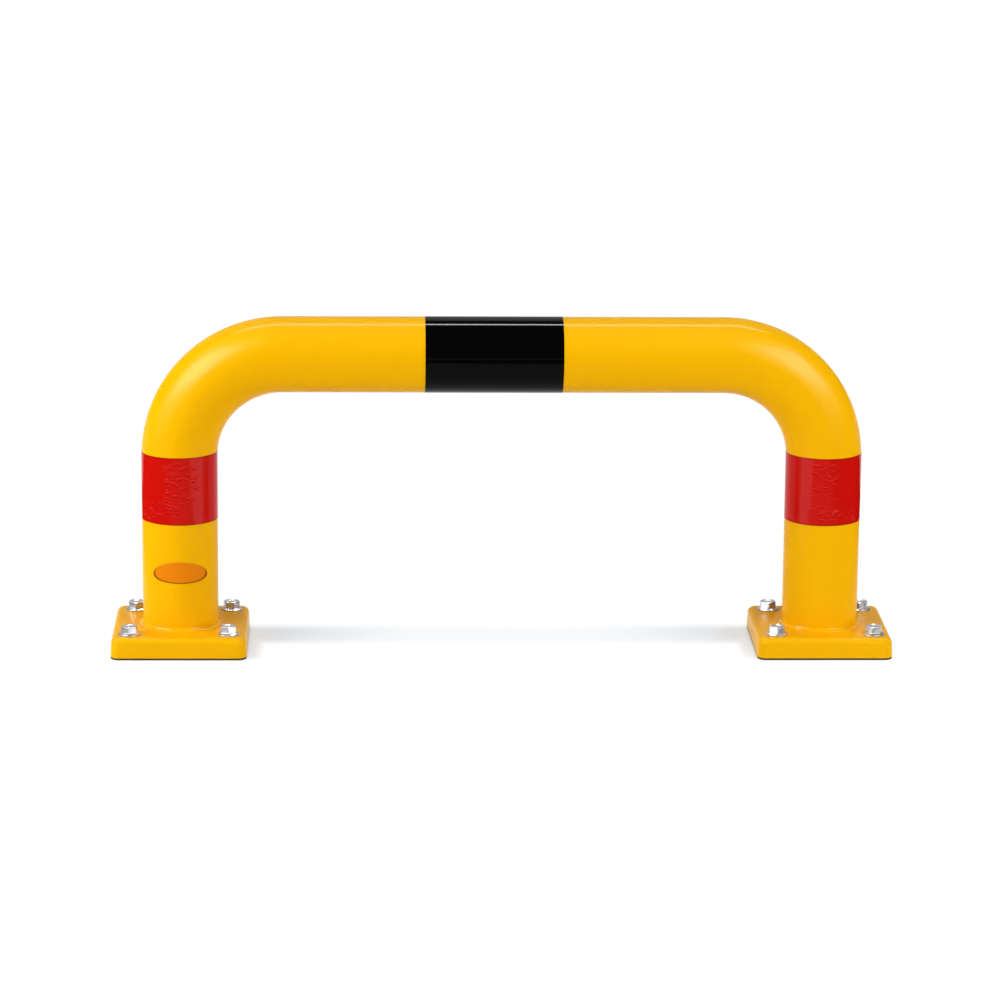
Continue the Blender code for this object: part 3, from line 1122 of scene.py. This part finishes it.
BOLT_FLATS = 0.015
BOLT_CORNER_ROUND = 0.0005
BOLT_FLANGE = 0.011
BOLT_FLANGE_RIM = 0.0014
BOLT_FLANGE_EDGE = 0.00025
BOLT_FLANGE_SLOPE = radians(21.0)
BOLT_HEAD_FILLET = 0.0005
BOLT_HEAD_EDGE = 0.0002
BOLT_CROWN_INSET = 0.0003
BOLT_CROWN_EDGE = 0.00015
BOLT_CROWN_SLOPE = radians(30.0)
BOLT_DISH_RADIUS = 0.0048
BOLT_DISH_DEPTH = 0.0007
BOLT_DISH_EDGE = 0.0002
BOLT_SIDES = 72
BOLT_SEAT_GAP = 0.00002
THREAD_RADIUS = 0.0050
THREAD_DEPTH = 0.0007
THREAD_PITCH = 0.0015
THREAD_ROWS_A_TURN = 6
THREAD_RELIEF = 0.0008
ZINC_DARK = (0.50, 0.505, 0.54, 1.0)
ZINC_PALE = (0.66, 0.66, 0.67, 1.0)
ZINC_ROUGHNESS = (0.26, 0.34)
ZINC_MOTTLE = (0.30, 0.70)
ZINC_DENT_DEPTH = 0.000006
ZINC_METALLIC = 0.79
ZINC_GLEAM = 1.2
BOLT_TURNS = {
    "left_front_outer": 22.0,
    "left_front_inner": 34.0,
    "left_back_outer": 25.0,
    "left_back_inner": 48.0,
    "right_front_inner": 28.0,
    "right_front_outer": 10.0,
    "right_back_inner": 33.0,
    "right_back_outer": 18.0,
}


def zinc_finish():
    """Bright zinc plating on tumbled steel: fine dents, a mottled gloss and a faint blue drift."""
    made, tree = blank_material("zinc_plating")
    place = add_node(tree, "ShaderNodeTexCoord").outputs["Object"]
    dents = noise(tree, place, Scale=620.0, Detail=3.0, Roughness=0.6)
    mottle = noise(tree, place, Scale=260.0, Detail=4.0)
    tone = add_node(tree, "ShaderNodeValToRGB", Fac=mottle)
    for index, colour in enumerate((ZINC_DARK, ZINC_PALE)):
        tone.color_ramp.elements[index].position = ZINC_MOTTLE[index]
        tone.color_ramp.elements[index].color = colour
    rough = graded(tree, mottle, ZINC_MOTTLE, ZINC_ROUGHNESS, "LINEAR")
    surface = glossy_surface(
        tree,
        tone.outputs["Color"],
        rough,
        dents,
        ZINC_DENT_DEPTH,
        Metallic=ZINC_METALLIC,
        IOR=ZINC_GLEAM,
    )
    show(tree, surface)
    return made


def hexagon_reach(angle):
    """Distance from the bolt's axis to its hexagon, with a rounded corner at angle 0."""
    inscribed = BOLT_FLATS / 2
    from_corner = (angle + pi / 6) % (pi / 3) - pi / 6
    to_flat = inscribed / cos(pi / 6 - abs(from_corner))
    centre = (inscribed - BOLT_CORNER_ROUND) / cos(pi / 6)
    off_line = centre * sin(from_corner)
    if abs(off_line) >= BOLT_CORNER_ROUND:
        return to_flat
    return min(to_flat, centre * cos(from_corner) + sqrt(BOLT_CORNER_ROUND**2 - off_line**2))


def bolt_rings(angle, foot, seat, top):
    """(radius, height) points of the bolt at one angle, from the thread's end to the dish."""
    points = []
    thread_top = seat - THREAD_RELIEF
    rows = int((thread_top - foot) / THREAD_PITCH * THREAD_ROWS_A_TURN)
    for row in range(rows + 1):
        height = foot + row / rows * (thread_top - foot)
        phase = (height / THREAD_PITCH + angle / (2 * pi)) % 1.0
        depth = abs(2 * phase - 1)
        points.append((THREAD_RADIUS - THREAD_DEPTH * depth, height))
    reach = hexagon_reach(angle)
    crown = BOLT_FLATS / 2 - BOLT_CROWN_INSET
    rim = seat + BOLT_FLANGE_RIM
    slope_top = rim + (BOLT_FLANGE - reach) * tan(BOLT_FLANGE_SLOPE)
    chamfer = top - (reach - crown) * tan(BOLT_CROWN_SLOPE)
    edge, fillet, head = BOLT_FLANGE_EDGE, BOLT_HEAD_FILLET, BOLT_HEAD_EDGE
    points += [
        (THREAD_RADIUS, seat),
        (BOLT_FLANGE - edge, seat),
        (BOLT_FLANGE - 0.3 * edge, seat + 0.3 * edge),
        (BOLT_FLANGE, seat + edge),
        (BOLT_FLANGE, rim - edge),
        (BOLT_FLANGE - 0.3 * edge, rim - 0.2 * edge),
        (BOLT_FLANGE - edge, rim + 0.6 * edge),
        (reach + fillet, slope_top - fillet * tan(BOLT_FLANGE_SLOPE)),
        (reach + 0.3 * fillet, slope_top + 0.16 * fillet),
        (reach, slope_top + 0.8 * fillet),
        (reach, chamfer - head),
        (reach - 0.3 * head, chamfer - 0.1 * head),
        (reach - 1.1 * head, chamfer + 0.6 * head),
        (crown + 0.8 * BOLT_CROWN_EDGE, top - BOLT_CROWN_EDGE / 3),
        (crown - BOLT_CROWN_EDGE, top),
        (BOLT_DISH_RADIUS + BOLT_DISH_EDGE, top),
        (BOLT_DISH_RADIUS - 0.5 * BOLT_DISH_EDGE, top - 0.4 * BOLT_DISH_EDGE),
        (BOLT_DISH_RADIUS - BOLT_DISH_DEPTH, top - BOLT_DISH_DEPTH * 0.85),
        (BOLT_DISH_RADIUS * 0.6, top - BOLT_DISH_DEPTH),
    ]
    return points


def bolt_mesh(foot, seat, top):
    """One bolt round the Z axis, from the end of its thread to its dished head."""
    bm = bmesh.new()
    columns = []
    for step in range(BOLT_SIDES):
        angle = step / BOLT_SIDES * 2 * pi
        column = []
        for radius, height in bolt_rings(angle, foot, seat, top):
            column.append(bm.verts.new((radius * cos(angle), radius * sin(angle), height)))
        columns.append(column)
    for left, right in zip(columns, columns[1:] + columns[:1]):
        for low in range(len(left) - 1):
            bm.faces.new((left[low], right[low], right[low + 1], left[low + 1]))
    bm.faces.new([column[0] for column in reversed(columns)])
    bm.faces.new([column[-1] for column in columns])
    bmesh.ops.recalc_face_normals(bm, faces=bm.faces)
    mesh = mesh_of("flange_bolt", bm)
    mesh.shade_smooth()
    mesh.set_sharp_from_angle(angle=radians(38.0))
    return mesh


def bolt_tree():
    """Sets one bolt on every point, each at the turn that its point carries."""
    tree = bpy.data.node_groups.new("bolts_at_points", "GeometryNodeTree")
    start, end = named_sockets(
        tree,
        [
            ("Geometry", "NodeSocketGeometry", None),
            ("Bolt", "NodeSocketObject", None),
            ("Size", "NodeSocketFloat", 1.0),
            ("Plating", "NodeSocketMaterial", None),
        ],
        [("Geometry", "NodeSocketGeometry")],
    )
    given = start.outputs
    bolt = add_node(tree, "GeometryNodeObjectInfo", Object=given["Bolt"])
    turn = add_node(tree, "GeometryNodeInputNamedAttribute", data_type="FLOAT", Name="turn")
    angles = add_node(tree, "ShaderNodeCombineXYZ", Z=turn.outputs["Attribute"])
    rotation = add_node(tree, "FunctionNodeEulerToRotation", Euler=angles.outputs["Vector"])
    placed = add_node(
        tree,
        "GeometryNodeInstanceOnPoints",
        Points=given["Geometry"],
        Instance=bolt.outputs["Geometry"],
        Rotation=rotation.outputs["Rotation"],
        Scale=given["Size"],
    )
    end_tree(tree, placed.outputs["Instances"], given["Plating"], end)
    return tree


bolt_spots = []
for name in BOLT_TURNS:
    low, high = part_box(f"bolt_{name}")
    bolt_spots.append(((low.x + high.x) / 2, (low.y + high.y) / 2, 0.0))
bolt_points = bpy.data.meshes.new("bolt_points")
bolt_points.from_pydata(bolt_spots, [], [])
turns = bolt_points.attributes.new("turn", "FLOAT", "POINT")
turns.data.foreach_set("value", [radians(turn) for turn in BOLT_TURNS.values()])
bolt_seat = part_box("base_plate_left")[1].z + BOLT_SEAT_GAP
single_bolt = object_of("single_bolt", bolt_mesh(low.z, bolt_seat, high.z))
all_bolts = shape_from_tree(
    "flange_bolts",
    bolt_points,
    bolt_tree(),
    {"Bolt": single_bolt, "Size": 1.0, "Plating": zinc_finish()},
)
bpy.data.objects.remove(single_bolt)
piece_of("flange_bolts", all_bolts, "zinc_plate", *[f"bolt_{name}" for name in BOLT_TURNS])
